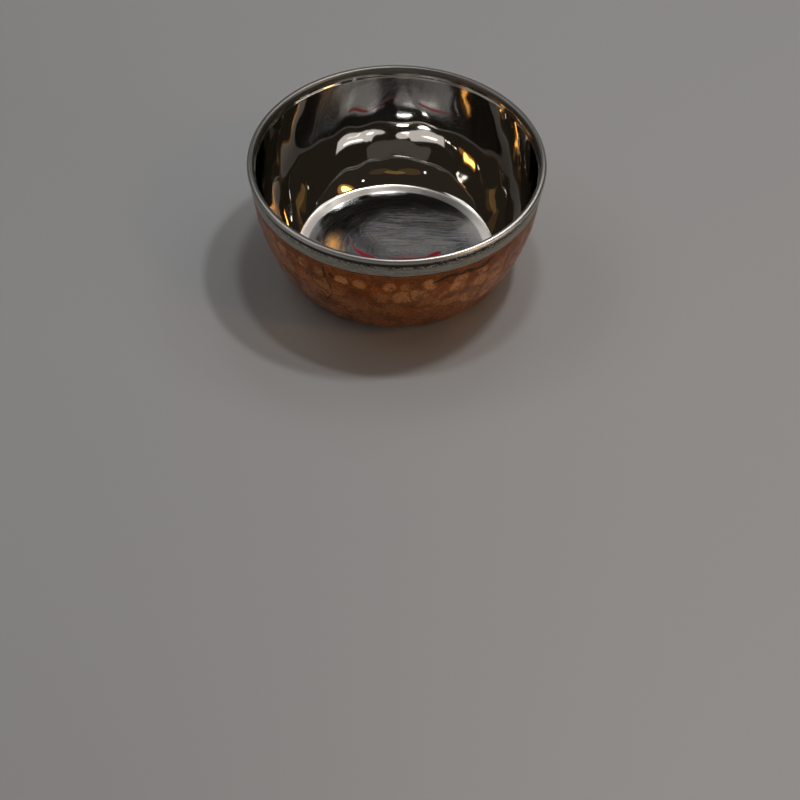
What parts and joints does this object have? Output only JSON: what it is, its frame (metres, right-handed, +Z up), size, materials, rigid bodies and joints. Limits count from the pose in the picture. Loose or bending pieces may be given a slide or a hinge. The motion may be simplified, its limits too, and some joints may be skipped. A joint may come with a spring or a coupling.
{
  "type": "offering bowl",
  "caption": "Small round double-walled bowl: hammered copper shell outside, polished steel liner inside, its lip rolled over the shell's edge.",
  "frame": {"origin": "centre of the flat foot, on the surface that the bowl stands on", "axes": "+Z up along the bowl's axis; the bowl is round, so +X and +Y are any two level directions"},
  "size_m": [0.088, 0.088, 0.0385],
  "materials": {
    "hammered_copper": "hand-hammered copper, satin, with dark patina between the marks",
    "polished_steel": "polished stainless steel, spun base, worn satin on the outside of the rim"
  },
  "bodies": {
    "root": {"copper_shell": "hammered_copper", "steel_liner": "polished_steel"}
  },
  "joints": []
}
